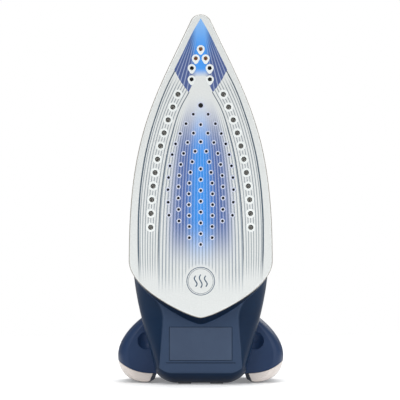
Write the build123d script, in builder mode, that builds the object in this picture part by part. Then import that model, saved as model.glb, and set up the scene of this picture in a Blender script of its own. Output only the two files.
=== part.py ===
"""Steam iron standing on its heel.

Frame: millimetres, +Z up.  The soleplate faces -Y and its tip points up.
The origin is on the floor, under the centre of the iron's box.
Depth w is the distance behind the soleplate's working face, so y = SOLE_Y + w.
"""

import os

from build123d import *

os.makedirs("parts", exist_ok=True)

# ---------------------------------------------------------------- driving sizes
DEPTH = 160.0  # working face to the end of the cord gland
SOLE_Y = -DEPTH / 2
SOLE_TIP_Z = 308.8
SOLE_HALF = 59.6
SHOULDER_Z = 108.0  # height of the soleplate's widest point
WALL = 2.4
GRIP_WALL = 3.0
SEAM = 0.3  # gap between neighbouring mouldings
SKIRT_W = 3.6  # the lower housing starts here
PANEL_W = 12.0  # flat heel panel
SPLIT_W = 28.0  # lower housing ends, tank and heel begin
DECK_W = 88.0  # deck under the handle
HEEL_TOP_Z = 66.0  # heel ends, tank, hood and handle begin
HEAD_W = 148.0  # flat on the handle's head, around the buttons
DIAL_Z = 118.0
NEEDLE_Z = 208.0
BUTTON_X, BUTTON_Z = 8.8, 190.5
GLAND_W, GLAND_Z = 147.0, 30.0


# ------------------------------------------------------------- placing helpers
def plane_at(w):
    """A sketch plane at depth w, whose local x and y are X and Z."""
    return Plane.XZ.offset(-(SOLE_Y + w))


def side(w, z):
    """A point of a side profile, drawn on Plane.YZ."""
    return (SOLE_Y + w, z)


def slab(outline, w0, w1):
    """A closed outline of edges, extruded from depth w0 to depth w1."""
    with BuildPart() as piece:
        with BuildSketch(plane_at(w0)):
            make_face(outline)
        extrude(amount=w0 - w1)
    return piece.part


def rod(x, z, w0, w1, radius):
    """A round bar along Y."""
    with BuildPart() as piece:
        with BuildSketch(plane_at(w0)):
            with Locations((x, z)):
                Circle(radius)
        extrude(amount=w0 - w1)
    return piece.part


def tile(x, z, width, height, corner, w0, w1):
    """A rounded rectangle centred on (x, z), extruded along Y."""
    with BuildPart() as piece:
        with BuildSketch(plane_at(w0)):
            with Locations((x, z)):
                RectangleRounded(width, height, corner)
        extrude(amount=w0 - w1)
    return piece.part


def side_block(points, half=90.0):
    """A polygon of (w, z) points, extruded across X."""
    with BuildPart() as piece:
        with BuildSketch(Plane.YZ):
            with BuildLine():
                Polyline(*[side(w, z) for w, z in points], close=True)
            make_face()
        extrude(amount=half, both=True)
    return piece.part


def mirrored(part):
    return mirror(part, about=Plane.YZ)


def save(part, name):
    part.label = name
    export_step(part, f"parts/{name}.step")


# ------------------------------------------------------------------- outlines
# Every outline is a chain of Bezier curves on the +X side, from the tip down to the centre
# line.  Heights of NOSE, FLANK and STERN count from the shoulder.
NOSE = [(0, 200.8), (3.5, 200.6), (6.7, 198.8), (8.2, 195.6)]
FLANK = [(8.2, 195.6), (37.7, 132.2), (59.4, 102), (59.6, 0)]
STERN = [(59.6, 0), (59.5, -10.1), (64.9, -24.6), (11.2, -51.9), (0, -52)]

# Heel of the housing at its widest, and at the flat panel: side, side, corner, underside.
HEEL_WIDE = [
    [(57.2, 108), (57.1, 90), (53.8, 71.5), (49.9, 55.9)],
    [(49.9, 55.9), (46.5, 42), (41.5, 26), (38, 11.3)],
    [(38, 11.3), (36.7, 6.3), (27.7, 1.1), (21.3, 1)],
    [(21.3, 1), (0, 1)],
]
HEEL_PANEL = [
    [(57.2, 108), (57.1, 84), (31, 76), (30.2, 56)],
    [(30.2, 56), (31, 42), (33.5, 26), (34.2, 14.4)],
    [(34.2, 14.4), (31, 12), (28, 10.6), (24, 10.5)],
    [(24, 10.5), (0, 10.5)],
]


def both_sides(curves):
    """Edges of the closed outline made of these curves and their mirror image."""
    with BuildLine() as line:
        for points in curves:
            Bezier(*points)
        mirror(about=Plane.YZ)
    return line.edges()


def bow(half, tip):
    """Nose and flank, stretched to a half width and a tip height."""
    wide = half / SOLE_HALF
    tall = (tip - SHOULDER_Z) / (SOLE_TIP_Z - SHOULDER_Z)
    return [[(x * wide, SHOULDER_Z + z * tall) for x, z in curve] for curve in (NOSE, FLANK)]


def sole_outline(inset=0.0, drop=0.0):
    """The soleplate's boat shape, made smaller by inset, its rear end lowered by drop."""
    half = SOLE_HALF - inset
    tall = 1 - (1.1 * inset - drop) / 52
    stern = [(x * half / SOLE_HALF, SHOULDER_Z + z * tall) for x, z in STERN]
    return both_sides(bow(half, SOLE_TIP_Z - 2 * inset) + [stern])


# Depth: tip height, half width at the shoulder, half width at the foot of the heel.
HULL = {
    SPLIT_W: (300.0, 57.2, 38.0),
    50.0: (283.0, 54.0, 37.0),
    70.0: (262.0, 49.0, 35.5),
    DECK_W: (238.0, 43.0, 33.0),
}


def hull_outline(w, inset=0.0):
    """Housing outline at one of the HULL depths."""
    tip, half, foot = HULL[w]
    wide = (half - inset) / 57.2
    narrow = (foot - inset) / 38.0

    def scaled(point):
        x, z = point
        t = (SHOULDER_Z - z) / SHOULDER_Z
        return (x * (wide * (1 - t) + narrow * t), z + inset * t)

    heel = [[scaled(point) for point in curve] for curve in HEEL_WIDE]
    return both_sides(bow(half - inset, tip - 2.2 * inset) + heel)


def hull_solid(inset=0.0):
    """Upper housing from the split to the deck."""
    with BuildPart() as hull:
        for w in HULL:
            with BuildSketch(plane_at(w)):
                make_face(hull_outline(w, inset))
        loft()
    return hull.part


# Depth behind the heel panel: how far the outline has swelled from the panel to its widest.
SWELL = {0.0: 0.0, 3.0: 0.45, 8.0: 0.82, SPLIT_W - PANEL_W: 1.0}


def front_outline(share, inset=0.0):
    """Lower housing outline, between the heel panel (share 0) and the widest heel (share 1)."""

    def blended(panel, wide):
        x = panel[0] + (wide[0] - panel[0]) * share
        z = panel[1] + (wide[1] - panel[1]) * share
        t = (SHOULDER_Z - z) / SHOULDER_Z
        return (x * (1 - inset / 57.2 * (1 - t) - inset / 38.0 * t), z + inset * t)

    heel = []
    for panel, wide in zip(HEEL_PANEL, HEEL_WIDE):
        heel.append([blended(a, b) for a, b in zip(panel, wide)])
    return both_sides(bow(57.2 - inset, 303.0 - 3.0 * share - 2.2 * inset) + heel)


def front_solid(inset=0.0):
    """Lower housing from the heel panel to the split, moved deeper by the inset."""
    with BuildPart() as front:
        for w, share in SWELL.items():
            with BuildSketch(plane_at(PANEL_W + w + inset)):
                make_face(front_outline(share, inset))
        loft()
    return front.part


# ------------------------------------------------------------------ soleplate
SHEET_W = 2.4  # thickness of the soleplate sheet
FLANGE_W = 10.4  # back of the casting's flange
CORE_W = 17.0  # back of the casting's core

# Steam hole columns on the +X side, counted downwards: number of holes, then x and z as
# polynomials of the hole's number, then the radius.
HOLE_COLUMNS = [
    (11, (18.9, 4.52, -0.226), (241.7, -10.555, -0.05), 2.1),
    (10, (6.2, 6.6, -0.62, 0.015), (225.1, -7.66, -0.185), 1.15),
    (8, (10.9, 3.99, -0.656, 0.033), (201.6, -9.05, -0.038), 1.15),
    (9, (4.64, 2.91, -0.52, 0.029), (194.3, -8.72, -0.031), 1.15),
    (1, (6.0,), (209.4,), 1.15),
    (1, (4.1,), (271.7,), 1.7),
    (2, (7.4, 0.2), (263.6, -9.4), 1.7),
]
# The same on the centre line.
CENTRE_COLUMNS = [
    (1, (0,), (279.5,), 1.7),
    (1, (0,), (232.5,), 2.0),
    (2, (0,), (216.5, -14.3), 1.15),
    (8, (0,), (179.6, -8.96), 1.15),
]


def polynomial(terms, i):
    return sum(term * i**power for power, term in enumerate(terms))


def steam_holes():
    """Centre and radius of every steam hole."""
    holes = []
    for columns, signs in ((HOLE_COLUMNS, (-1, 1)), (CENTRE_COLUMNS, (1,))):
        for count, across, up, radius in columns:
            for i in range(count):
                x, z = polynomial(across, i), polynomial(up, i)
                holes += [(sign * x, z, radius) for sign in signs]
    return holes


with BuildPart() as soleplate_sheet:
    with BuildSketch(plane_at(0)):
        make_face(sole_outline())
    extrude(amount=-SHEET_W)
    fillet(soleplate_sheet.faces().sort_by(Axis.Y)[0].edges(), 1.3)
    with BuildSketch(plane_at(0)):
        for hole_x, hole_z, hole_radius in steam_holes():
            with Locations((hole_x, hole_z)):
                Circle(hole_radius)
    extrude(amount=-SHEET_W, mode=Mode.SUBTRACT)
save(soleplate_sheet.part, "soleplate_sheet")

ELEMENT_R = 3.4
ELEMENT_W = CORE_W - ELEMENT_R - 0.4


def element_curve(shift):
    """One half of the heating element's U, moved outwards by shift."""
    knee = (30 + 0.95 * shift, 195 + 0.3 * shift)
    leg = [(27 + shift, 84), (40 + shift, 120), (41 + shift, 150), knee]
    turn = [knee, (21 + 0.8 * shift, 232 + 0.6 * shift), (5, 246 + shift), (0, 246 + shift)]
    return [leg, turn]


with BuildLine(plane_at(ELEMENT_W)) as element_path:
    for points in element_curve(0):
        Bezier(*points)
    mirror(about=Plane.YZ)

with BuildPart() as heating_element:
    with BuildSketch(Plane(element_path.wire() @ 0, z_dir=element_path.wire() % 0)):
        Circle(ELEMENT_R)
    sweep(path=element_path.wire())
save(heating_element.part, "heating_element")

GROOVE = 4.6  # half width, with the fit round the element
with BuildPart() as groove:
    with BuildSketch(plane_at(ELEMENT_W - ELEMENT_R - 0.3)):
        for shift, mode in ((GROOVE, Mode.ADD), (-GROOVE, Mode.SUBTRACT)):
            x = 27 + shift
            ends = [[(x, 84), (x, 80)], [(x, 80), (0, 80)]]
            make_face(both_sides(element_curve(shift) + ends), mode=mode)
    extrude(amount=-12)

CHAMBER = [[(0, 220), (12, 220), (24, 185), (28, 140)], [(28, 140), (30, 108), (18, 92), (0, 92)]]
SCREW_SPOTS = [(x, z) for z in (100.0, 150.0) for x in (-24.5, 24.5)] + [(-9.0, 212.0), (9.0, 212.0)]
PORT_SPOTS = [(x, z) for z in (125.0, 165.0) for x in (-13.0, 13.0)]

with BuildPart() as soleplate_casting:
    add(slab(sole_outline(4.5), SHEET_W, FLANGE_W))
    add(slab(sole_outline(12.0), FLANGE_W, CORE_W))
    add(slab(sole_outline(10.0), SHEET_W, 7.2), mode=Mode.SUBTRACT)
    add(groove.part, mode=Mode.SUBTRACT)
    with BuildSketch(plane_at(10.4)):
        make_face(both_sides(CHAMBER))
        for spot in SCREW_SPOTS:
            with Locations(spot):
                Circle(4.2, mode=Mode.SUBTRACT)
    extrude(amount=-12, mode=Mode.SUBTRACT)
    for x, z in PORT_SPOTS:
        add(rod(x, z, 6, 12, 2.0), mode=Mode.SUBTRACT)
    for x, z in SCREW_SPOTS:
        add(rod(x, z, 11, 20, 1.6), mode=Mode.SUBTRACT)
save(soleplate_casting.part, "soleplate_casting")

COVER_T = 1.2
COVER = [[(0, 222), (13, 222), (26, 187), (30, 140)], [(30, 140), (32, 106), (19, 90), (0, 90)]]
with BuildPart() as chamber_cover:
    with BuildSketch(plane_at(CORE_W)):
        make_face(both_sides(COVER))
        for spot in SCREW_SPOTS + [(0, NEEDLE_Z)]:
            with Locations(spot):
                Circle(1.8, mode=Mode.SUBTRACT)
    extrude(amount=-COVER_T)
save(chamber_cover.part, "chamber_cover")

with BuildPart() as cover_screws:
    for x, z in SCREW_SPOTS:
        add(rod(x, z, 11.4, CORE_W + COVER_T, 1.5))
        add(rod(x, z, CORE_W + COVER_T, CORE_W + COVER_T + 2.0, 2.9))
        add(tile(x, z, 3.6, 0.8, 0.3, CORE_W + COVER_T + 1.1, CORE_W + COVER_T + 3.0), mode=Mode.SUBTRACT)
save(cover_screws.part, "cover_screws")

STAT_W = CORE_W + COVER_T
with BuildPart() as thermostat:
    add(rod(0, DIAL_Z, STAT_W, STAT_W + 5.5, 11.0))
    add(tile(0, DIAL_Z, 34, 9, 4.4, STAT_W, STAT_W + 1.2))
    add(rod(0, DIAL_Z, STAT_W + 4.0, STAT_W + 7.0, 3.0), mode=Mode.SUBTRACT)
save(thermostat.part, "thermostat")

with BuildPart() as thermal_fuse:
    add(tile(0, 172, 26, 7, 3.0, STAT_W, STAT_W + 4.0))
    add(tile(0, 172, 34, 3, 1.0, STAT_W, STAT_W + 1.0))
save(thermal_fuse.part, "thermal_fuse")

# --------------------------------------------------------------- lower housing
PLATE_X, PLATE_Z = 51.8, 27.4
PLATE_MID_Z = 34.3
PLATE_T = 0.8
SKIRT_TIP, SKIRT_HALF, BAND_DROP = 304.4, 58.0, 9.2
SKIRT_BACK_W = PANEL_W + 0.8  # the skirt reaches into the housing behind the panel's face
band = [(x * SKIRT_HALF / SOLE_HALF, SHOULDER_Z + z * (52 + BAND_DROP - 2.6) / 52) for x, z in STERN]

with BuildPart() as skirt:
    with BuildSketch(plane_at(SKIRT_W)):
        make_face(sole_outline(1.0))
    with BuildSketch(plane_at(SKIRT_BACK_W)):
        make_face(both_sides(bow(SKIRT_HALF, SKIRT_TIP) + [band]))
    loft()

with BuildPart() as lower_housing:
    add(front_solid())
    add(skirt.part)
    add(front_solid(WALL), mode=Mode.SUBTRACT)
    add(slab(sole_outline(3.8), 0, FLANGE_W + 0.8), mode=Mode.SUBTRACT)
    add(slab(sole_outline(8.0), 0, CORE_W), mode=Mode.SUBTRACT)
    with BuildSketch(plane_at(PANEL_W)):
        with Locations((0, PLATE_MID_Z)):
            RectangleRounded(PLATE_X + 0.9, PLATE_Z + 0.9, 0.6)
        with Locations((0, PLATE_MID_Z - PLATE_Z / 2 - 2.2)):
            Rectangle(58, 0.6)
    extrude(amount=-PLATE_T, mode=Mode.SUBTRACT)
save(lower_housing.part, "lower_housing")

save(tile(0, PLATE_MID_Z, PLATE_X, PLATE_Z, 0.5, PANEL_W, PANEL_W + PLATE_T), "rating_plate")

# --------------------------------------------------------------- tank and hood
# The tank's back slopes: it is deepest at the heel and shallow at the nose.
SLOPE_Z0, SLOPE_RUN = 496.0, 6.0  # z = SLOPE_Z0 - SLOPE_RUN * w


def slope_w(z):
    return (SLOPE_Z0 - z) / SLOPE_RUN


def slope_z(w):
    return SLOPE_Z0 - SLOPE_RUN * w


UPPER_W = SPLIT_W + SEAM
UPPER_Z = HEEL_TOP_Z + SEAM
FACET_W, FACET_Z = 62.0, 258.5  # middle of the flat nose facet
FACET = Plane(origin=(0, SOLE_Y + FACET_W, FACET_Z), x_dir=(1, 0, 0), z_dir=(0, 0.75, 0.66))
FILL_X, FILL_Z0, FILL_Z1 = 13.0, 252.5, 265.0
FILL_MID, FILL_TALL = (FILL_Z0 + FILL_Z1) / 2, FILL_Z1 - FILL_Z0

hull = hull_solid()
cavity = hull_solid(WALL)


def wedge(depth, low, w0):
    """Everything between depth w0 and the tank's sloping back moved deeper by depth, above low."""
    return side_block([(w0, low), (slope_w(low) + depth, low), (w0, slope_z(w0 - depth))])


with BuildPart() as water_tank:
    add(hull)
    add(wedge(0, UPPER_Z, UPPER_W), mode=Mode.INTERSECT)
    inside = cavity & wedge(-WALL, UPPER_Z + WALL, UPPER_W + WALL)
    add(inside - rod(0, DIAL_Z, 0, 90, 8.0), mode=Mode.SUBTRACT)
    add(rod(0, DIAL_Z, 0, 90, 5.6), mode=Mode.SUBTRACT)
    add(rod(0, NEEDLE_Z, 0, 90, 2.1), mode=Mode.SUBTRACT)
    add(tile(0, FILL_MID, FILL_X, FILL_TALL, 1.5, 35, 60), mode=Mode.SUBTRACT)
save(water_tank.part, "water_tank")

DOOR_X = 18.6
HINGE_Y, HINGE_DROP = 12.0, 1.7  # hinge axis in the facet's own frame
POCKET = 2.6


def in_facet(width, y0, y1, drop0, drop1):
    """A block standing in the nose facet, between two drops below its surface."""
    with BuildPart() as piece:
        with BuildSketch(FACET.offset(-drop0)):
            with Locations((0, (y0 + y1) / 2)):
                Rectangle(width, y1 - y0)
        extrude(amount=drop0 - drop1)
    return piece.part


def hinge_bar(radius, length):
    """A round bar along the door's hinge axis."""
    with BuildPart() as piece:
        with BuildSketch(Plane.YZ):
            with Locations(side(*hinge_at)):
                Circle(radius)
        extrude(amount=length / 2, both=True)
    return piece.part


# FACET's local y runs (0, 0.66, -0.75): towards the handle.
hinge_at = (FACET_W + 0.66 * HINGE_Y - 0.75 * HINGE_DROP, FACET_Z - 0.75 * HINGE_Y - 0.66 * HINGE_DROP)

with BuildPart() as hood:
    add(hull)
    add(wedge(SEAM, UPPER_Z, 0), mode=Mode.SUBTRACT)
    add(side_block([(0, 0), (0, UPPER_Z), (100, UPPER_Z), (100, 0)]), mode=Mode.SUBTRACT)
    add(in_facet(80, -80, 80, 0, -60), mode=Mode.SUBTRACT)
    deep = cavity - wedge(-20, 0, -30) - in_facet(80, -80, 80, WALL, -60)
    deep = deep - side_block([(DECK_W - WALL, 0), (DECK_W + 9, 0), (DECK_W + 9, 400), (DECK_W - WALL, 400)])
    deep = deep - in_facet(24, -18, 17, 0, 6.5) - rod(0, DIAL_Z, 80, 90, 26.2)
    add(deep, mode=Mode.SUBTRACT)
    add(rod(0, DIAL_Z, 82.4, 90, 24.0), mode=Mode.SUBTRACT)
    add(rod(0, DIAL_Z, 60, 90, 4.06), mode=Mode.SUBTRACT)
    add(rod(0, NEEDLE_Z, 60, 90, 2.1), mode=Mode.SUBTRACT)
    add(rod(-BUTTON_X, BUTTON_Z, 60, 90, 2.2), mode=Mode.SUBTRACT)
    add(in_facet(DOOR_X + 0.7, -14.4, HINGE_Y + 1.9, 0, POCKET), mode=Mode.SUBTRACT)
    add(in_facet(9, -16.2, -13, 0, 1.2), mode=Mode.SUBTRACT)
    add(hinge_bar(1.95, DOOR_X + 0.7), mode=Mode.SUBTRACT)
    add(hinge_bar(1.05, DOOR_X + 5.2), mode=Mode.SUBTRACT)
    add(tile(0, FILL_MID, FILL_X + 3.4, FILL_TALL + 3.4, 2.5, 30, 80), mode=Mode.SUBTRACT)
save(hood.part, "hood")

with BuildPart() as fill_door:
    add(in_facet(DOOR_X, -14, HINGE_Y, 0.1, 2.1))
    add(hinge_bar(1.6, DOOR_X))
    add(hinge_bar(1.0, DOOR_X + 4.4))
    add(in_facet(7, -15.6, -12.5, 0.1, 0.9))
save(fill_door.part, "fill_door")

with BuildPart() as fill_funnel:
    add(tile(0, FILL_MID, FILL_X + 2.8, FILL_TALL + 2.8, 2.2, 30, 80))
    add(tile(0, FILL_MID, FILL_X, FILL_TALL, 1.5, 30, 80), mode=Mode.SUBTRACT)
    add(wedge(0.1, 0, -30), mode=Mode.SUBTRACT)
    add(in_facet(80, -80, 80, POCKET, -60), mode=Mode.SUBTRACT)
save(fill_funnel.part, "fill_funnel")

# -------------------------------------------------------------- heel and handle
def spine_plan(inset):
    """Heel column, grip and head seen along Y, from the column's foot up to the head's end."""
    foot, column, grip, head = 22 - inset, 30 - inset, 16.8 - inset, 22 - inset
    low, top = 1.6 + inset, 236 - inset
    return both_sides([
        [(0, low), (foot, low)],
        [(foot, low), (column, low), (column, 14), (column, 30)],
        [(column, 30), (column, 56), (grip + 0.2, 70), (grip, 110)],
        [(grip, 110), (grip, 140), (head - 0.5, 162), (head, 188)],
        [(head, 188), (head, 214 - inset), (10, top), (0, top)],
    ])


def spine_profile(inset):
    """The same, seen along X, up the back and round: flat, head, front, foot, back."""
    flat, front, low, top = HEAD_W - inset, 60 + inset, 0.2 + inset, 237 - inset
    brow = side(126 - inset, 229 - inset)
    foot, back = side(130 - inset, low), side(150 - inset, 40)
    with BuildLine() as line:
        Polyline(side(flat, 176), side(flat, 213 - inset))
        Bezier(side(flat, 213 - inset), side(flat, 224 - inset), side(138 - inset, 227 - inset), brow)
        Polyline(brow, side(84, top), side(front, top), side(front, low), foot)
        Bezier(foot, side(143 - inset, low), side(148 - inset, 10), back)
        Bezier(back, side(154 - inset, 100), side(157 - inset, 140), side(flat, 176))
    return line.edges()


def spine_solid(inset=0.0, edge=0.0):
    """Heel column, grip and head as one solid round the finger gap."""
    with BuildPart() as spine:
        with BuildSketch(Plane.YZ):
            make_face(spine_profile(inset))
        extrude(amount=60, both=True)
        with BuildSketch(plane_at(40)):
            make_face(spine_plan(inset))
        extrude(amount=-140, mode=Mode.INTERSECT)
        with BuildSketch(Plane.YZ):
            with Locations(side(104, 119)):
                RectangleRounded(44 + 2 * inset, 114 + 2 * inset, 16 + inset)
        extrude(amount=60, both=True, mode=Mode.SUBTRACT)
        if edge:
            rims = spine.edges().filter_by(lambda e: e.bounding_box().max.Z > 2)
            fillet(rims.filter_by(lambda e: e.bounding_box().max.Y > SOLE_Y + 60.5), edge)
    return spine.part


# Wing of the heel, seen along Y, on the +X side.
LOBE = [
    [(24, 11), (39.6, 8.6)],
    [(39.6, 8.6), (42.2, 2.2)],
    [(42.2, 2.2), (43, 0), (44.5, 0), (46.5, 0)],
    [(46.5, 0), (60, 0), (71, 7.5), (71, 22.9)],
    [(71, 22.9), (71, 36.5), (58, 51), (44, 59.5)],
    [(44, 59.5), (24, 59.5)],
    [(24, 59.5), (24, 11)],
]
LOBE_MID = (24.0, 28.0)
# Depth: width and height of the wing there, as shares of the full lobe.
WING = {36: (0.80, 0.90), 38: (0.88, 0.94), 43: (0.95, 0.98), 52: (0.99, 0.995), 64: (1, 0.998),
        80: (1, 0.998), 96: (1, 0.998), 110: (0.96, 0.99), 121: (0.85, 0.94), 128: (0.64, 0.8)}
FOOT_LINE = [(72, 20.6), (59, 9.6), (49, 8.6), (38, 8.6)]  # top of the foot band
RIM = 0.9
SCOOP = (46, 31, 36)  # centre of the round hollow in the wing's front: x, w, z
SCOOP_R = 9.0


def lobe(inset=0.0, wide=1.0, tall=0.998):
    """Edges of the lobe, drawn in by inset and then cut to these shares of its size."""
    across = wide * (1 - inset / 47)
    up = tall * (1 - inset / 28)
    x0, z0 = LOBE_MID
    with BuildLine() as line:
        for curve in LOBE:
            Bezier(*[(x0 + (x - x0) * across, z0 + (z - z0) * up) for x, z in curve])
    return line.edges()


def wing_solid(inset=0.0, deeper=0.0):
    """The +X wing, slimmer by inset, its front and back moved inwards by deeper."""
    with BuildPart() as wing:
        for w, (wide, tall) in WING.items():
            shift = deeper * (1 if w < 70 else -1)
            with BuildSketch(plane_at(w + shift)):
                make_face(lobe(inset, wide, tall))
        loft()
    return wing.part


def below_foot_line(drop):
    """Everything under the foot line, which is lowered by drop."""
    with BuildPart() as piece:
        with BuildSketch(plane_at(20)):
            with BuildLine():
                Bezier(*[(x, z - drop) for x, z in FOOT_LINE])
                Polyline((38, 8.6 - drop), (38, -5), (80, -5), (80, 20.6 - drop), (72, 20.6 - drop))
            make_face()
        extrude(amount=-130)
    return piece.part


def span(w0, w1, z0, z1):
    """Everything between two depths and two heights."""
    return side_block([(w0, z0), (w1, z0), (w1, z1), (w0, z1)])


def ball(x, w, z, radius):
    with BuildPart() as piece:
        with Locations((x, SOLE_Y + w, z)):
            Sphere(radius)
    return piece.part


def brick(x0, x1, w0, w1, z0, z1):
    with BuildPart() as piece:
        with Locations(((x0 + x1) / 2, SOLE_Y + (w0 + w1) / 2, (z0 + z1) / 2)):
            Box(x1 - x0, w1 - w0, z1 - z0)
    return piece.part


spine = spine_solid(edge=6.0)
core = spine_solid(GRIP_WALL)
wing = wing_solid()
BACK_W = 136.0  # heel and handle are split behind this depth
REAR_SCREWS = [(-18, 52), (18, 52)]

wing_top = wing - below_foot_line(0) - ball(*SCOOP, SCOOP_R)
wing_hollow = wing_solid(2.6, 2.6) - below_foot_line(-2.4) - ball(*SCOOP, SCOOP_R + 2.4)

with BuildPart() as heel_hollow:
    add(cavity & span(20, DECK_W - WALL, -5, 80))
    add(core & span(55, 150, -5, 80))
    add(wing_hollow)
    add(mirrored(wing_hollow))

with BuildPart() as heel_shell:
    add(hull & span(UPPER_W, 95, -5, HEEL_TOP_Z))
    add(spine & span(55, BACK_W, -5, HEEL_TOP_Z))
    add(wing_top)
    add(mirrored(wing_top))
    add(heel_hollow.part, mode=Mode.SUBTRACT)
    for x, z in REAR_SCREWS:
        add(rod(x, z, 112, BACK_W, 4.2))
        add(brick(min(x, 1.42 * x), max(x, 1.42 * x), 112, BACK_W, z - 1.2, z + 1.2))
    for x, z in REAR_SCREWS:
        add(rod(x, z, 115, BACK_W, 1.6), mode=Mode.SUBTRACT)
save(heel_shell.part, "heel_shell")

# The rim is a crescent under the foot band: what is left below the lobe moved up and outwards.
# The band stays 0.1 clear of it on every side.
foot_and_rim = wing & below_foot_line(0.3)
widest = slab(lobe(), 20, 150)
foot = foot_and_rim
for across in (0.25, 0.45):
    foot = foot & widest.moved(Location((across, 0, RIM + 0.2)))
save(foot, "foot_band_right")
save(mirrored(foot), "foot_band_left")
rim = foot_and_rim - widest.moved(Location((0.35, 0, RIM + 0.1)))
save(rim, "foot_rim_right")
save(mirrored(rim), "foot_rim_left")

with BuildPart() as heel_pads:
    for x0 in (-19, 8):
        add(brick(x0, x0 + 11, 34, 48, 0, 1))
        add(brick(x0, x0 + 11, 108, 122, 0, 1.6))
save(heel_pads.part, "heel_pads")

cover_span = span(BACK_W + SEAM, 160, 0, HEEL_TOP_Z)
with BuildPart() as rear_cover:
    add((spine - core) & cover_span)
    for x, z in REAR_SCREWS:
        add(rod(x, z, BACK_W + SEAM, 160, 4.2) & spine & cover_span)
    for x, z in REAR_SCREWS:
        add(rod(x, z, BACK_W, 160, 1.7), mode=Mode.SUBTRACT)
        add(rod(x, z, 142, 160, 3.3), mode=Mode.SUBTRACT)
    add(rod(0, GLAND_Z, BACK_W, 160, 13.7), mode=Mode.SUBTRACT)
save(rear_cover.part, "rear_cover")

with BuildPart() as rear_cover_screws:
    for x, z in REAR_SCREWS:
        add(rod(x, z, 117, 142, 1.5))
        add(rod(x, z, 142, 144.2, 3.0))
        add(tile(x, z, 4, 0.9, 0.3, 143.2, 145), mode=Mode.SUBTRACT)
save(rear_cover_screws.part, "rear_cover_screws")

with BuildPart() as cord_socket:
    add(rod(0, GLAND_Z, 138, 151.6, 13.5))
    add(ball(0, GLAND_W, GLAND_Z, 9.9), mode=Mode.SUBTRACT)
    add(rod(0, GLAND_Z, 130, GLAND_W, 6.5), mode=Mode.SUBTRACT)
save(cord_socket.part, "cord_socket")

CORD_R = 3.2
with BuildPart() as cord_gland:
    add(ball(0, GLAND_W, GLAND_Z, 9.5))
    add(rod(0, GLAND_Z, GLAND_W, DEPTH, 5.4))
    add(rod(0, GLAND_Z, DEPTH - 3, DEPTH, 6.4))
    add(rod(0, GLAND_Z, 130, DEPTH, CORD_R), mode=Mode.SUBTRACT)
    add(rod(0, GLAND_Z, 130, GLAND_W - 6.5, 12), mode=Mode.SUBTRACT)
save(cord_gland.part, "cord_gland")

with BuildPart() as terminal_block:
    add(tile(0, 36, 34, 15, 1.5, 104, 119))
    for x in (-10, 0, 10):
        add(rod(x, 40, 110, 120, 2.4), mode=Mode.SUBTRACT)
        add(rod(x, 33, 100, 120, 1.6), mode=Mode.SUBTRACT)
save(terminal_block.part, "terminal_block")

# --------------------------------------------------------------------- handle
TRIM_T = 2.2
BUTTON_X0, BUTTON_H, BUTTON_CORNER = 13.2, 19.0, 3.5
SLIDER_Z, SLIDER_TRAVEL = 207.5, 8.0
LENS_Z = 177.4
NOZZLE_W = 104.0
shell = spine - core

with BuildPart() as handle_shell:
    add(shell & span(DECK_W + SEAM, BACK_W, UPPER_Z, 250))
    with BuildSketch(Plane.XY.offset(220)):
        with Locations((0, SOLE_Y + NOZZLE_W)):
            Circle(4.4)
    extrude(amount=30, mode=Mode.SUBTRACT)
save(handle_shell.part, "handle_shell")

save(shell & span(BACK_W + SEAM, BACK_W + SEAM + TRIM_T, UPPER_Z, 250), "handle_trim")

with BuildPart() as grip_cover:
    add(shell & span(BACK_W + TRIM_T + 2 * SEAM, 170, UPPER_Z, 250))
    for x in (-BUTTON_X, BUTTON_X):
        add(tile(x, BUTTON_Z, BUTTON_X0 + 0.7, BUTTON_H + 0.7, BUTTON_CORNER + 0.3, 140, 160),
            mode=Mode.SUBTRACT)
    add(tile(0, SLIDER_Z, 2 * SLIDER_TRAVEL + 6, 3.8, 1.8, 140, 160), mode=Mode.SUBTRACT)
    add(rod(0, LENS_Z, 140, 160, 2.0), mode=Mode.SUBTRACT)
save(grip_cover.part, "grip_cover")

save(rod(0, LENS_Z, 145.2, 148.6, 1.9), "indicator_lens")
save(rod(0, LENS_Z, 139.0, 144.8, 1.5), "indicator_lamp")

with BuildPart() as control_board:
    add(tile(0, 128, 24, 66, 2, 131, 132.6))
    add(tile(-4, 112, 11, 9, 0.8, 132.6, 136.5))
    add(tile(5, 134, 8, 12, 0.8, 132.6, 135.0))
    for z in (148, 153):
        add(rod(-6, z, 132.6, 138.5, 2.0))
save(control_board.part, "control_board")

PUMP_W0, PUMP_W1, PUMP_R, PUMP_BORE = 104.0, 127.0, 6.0, 4.5


def pump(x):
    """Small hand pump under a button: open barrel, closed foot and hose nipple."""
    with BuildPart() as piece:
        add(rod(x, BUTTON_Z, PUMP_W0, PUMP_W1, PUMP_R))
        add(rod(x, BUTTON_Z, PUMP_W0 - 5, PUMP_W0, 2.4))
        add(rod(x, BUTTON_Z, PUMP_W0 + 2, PUMP_W1, PUMP_BORE), mode=Mode.SUBTRACT)
        add(rod(x, BUTTON_Z, PUMP_W0 - 5, PUMP_W0 + 2, 1.0), mode=Mode.SUBTRACT)
    return piece.part


CAP_W0, CAP_W1 = 140.6, 150.6  # button, from its flange to its top


def button_cap(x):
    with BuildPart() as piece:
        add(tile(x, BUTTON_Z, BUTTON_X0, BUTTON_H, BUTTON_CORNER, CAP_W0, CAP_W1))
        fillet(piece.faces().sort_by(Axis.Y)[-1].edges(), 1.4)
        add(tile(x, BUTTON_Z, BUTTON_X0 + 1.8, BUTTON_H + 1.8, BUTTON_CORNER + 0.9, CAP_W0, CAP_W0 + 1.4))
    return piece.part


def piston(x):
    with BuildPart() as piece:
        add(rod(x, BUTTON_Z, 117.0, 122.0, PUMP_BORE - 0.06))
        add(rod(x, BUTTON_Z, 122.0, CAP_W0, 2.0))
    return piece.part


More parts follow.
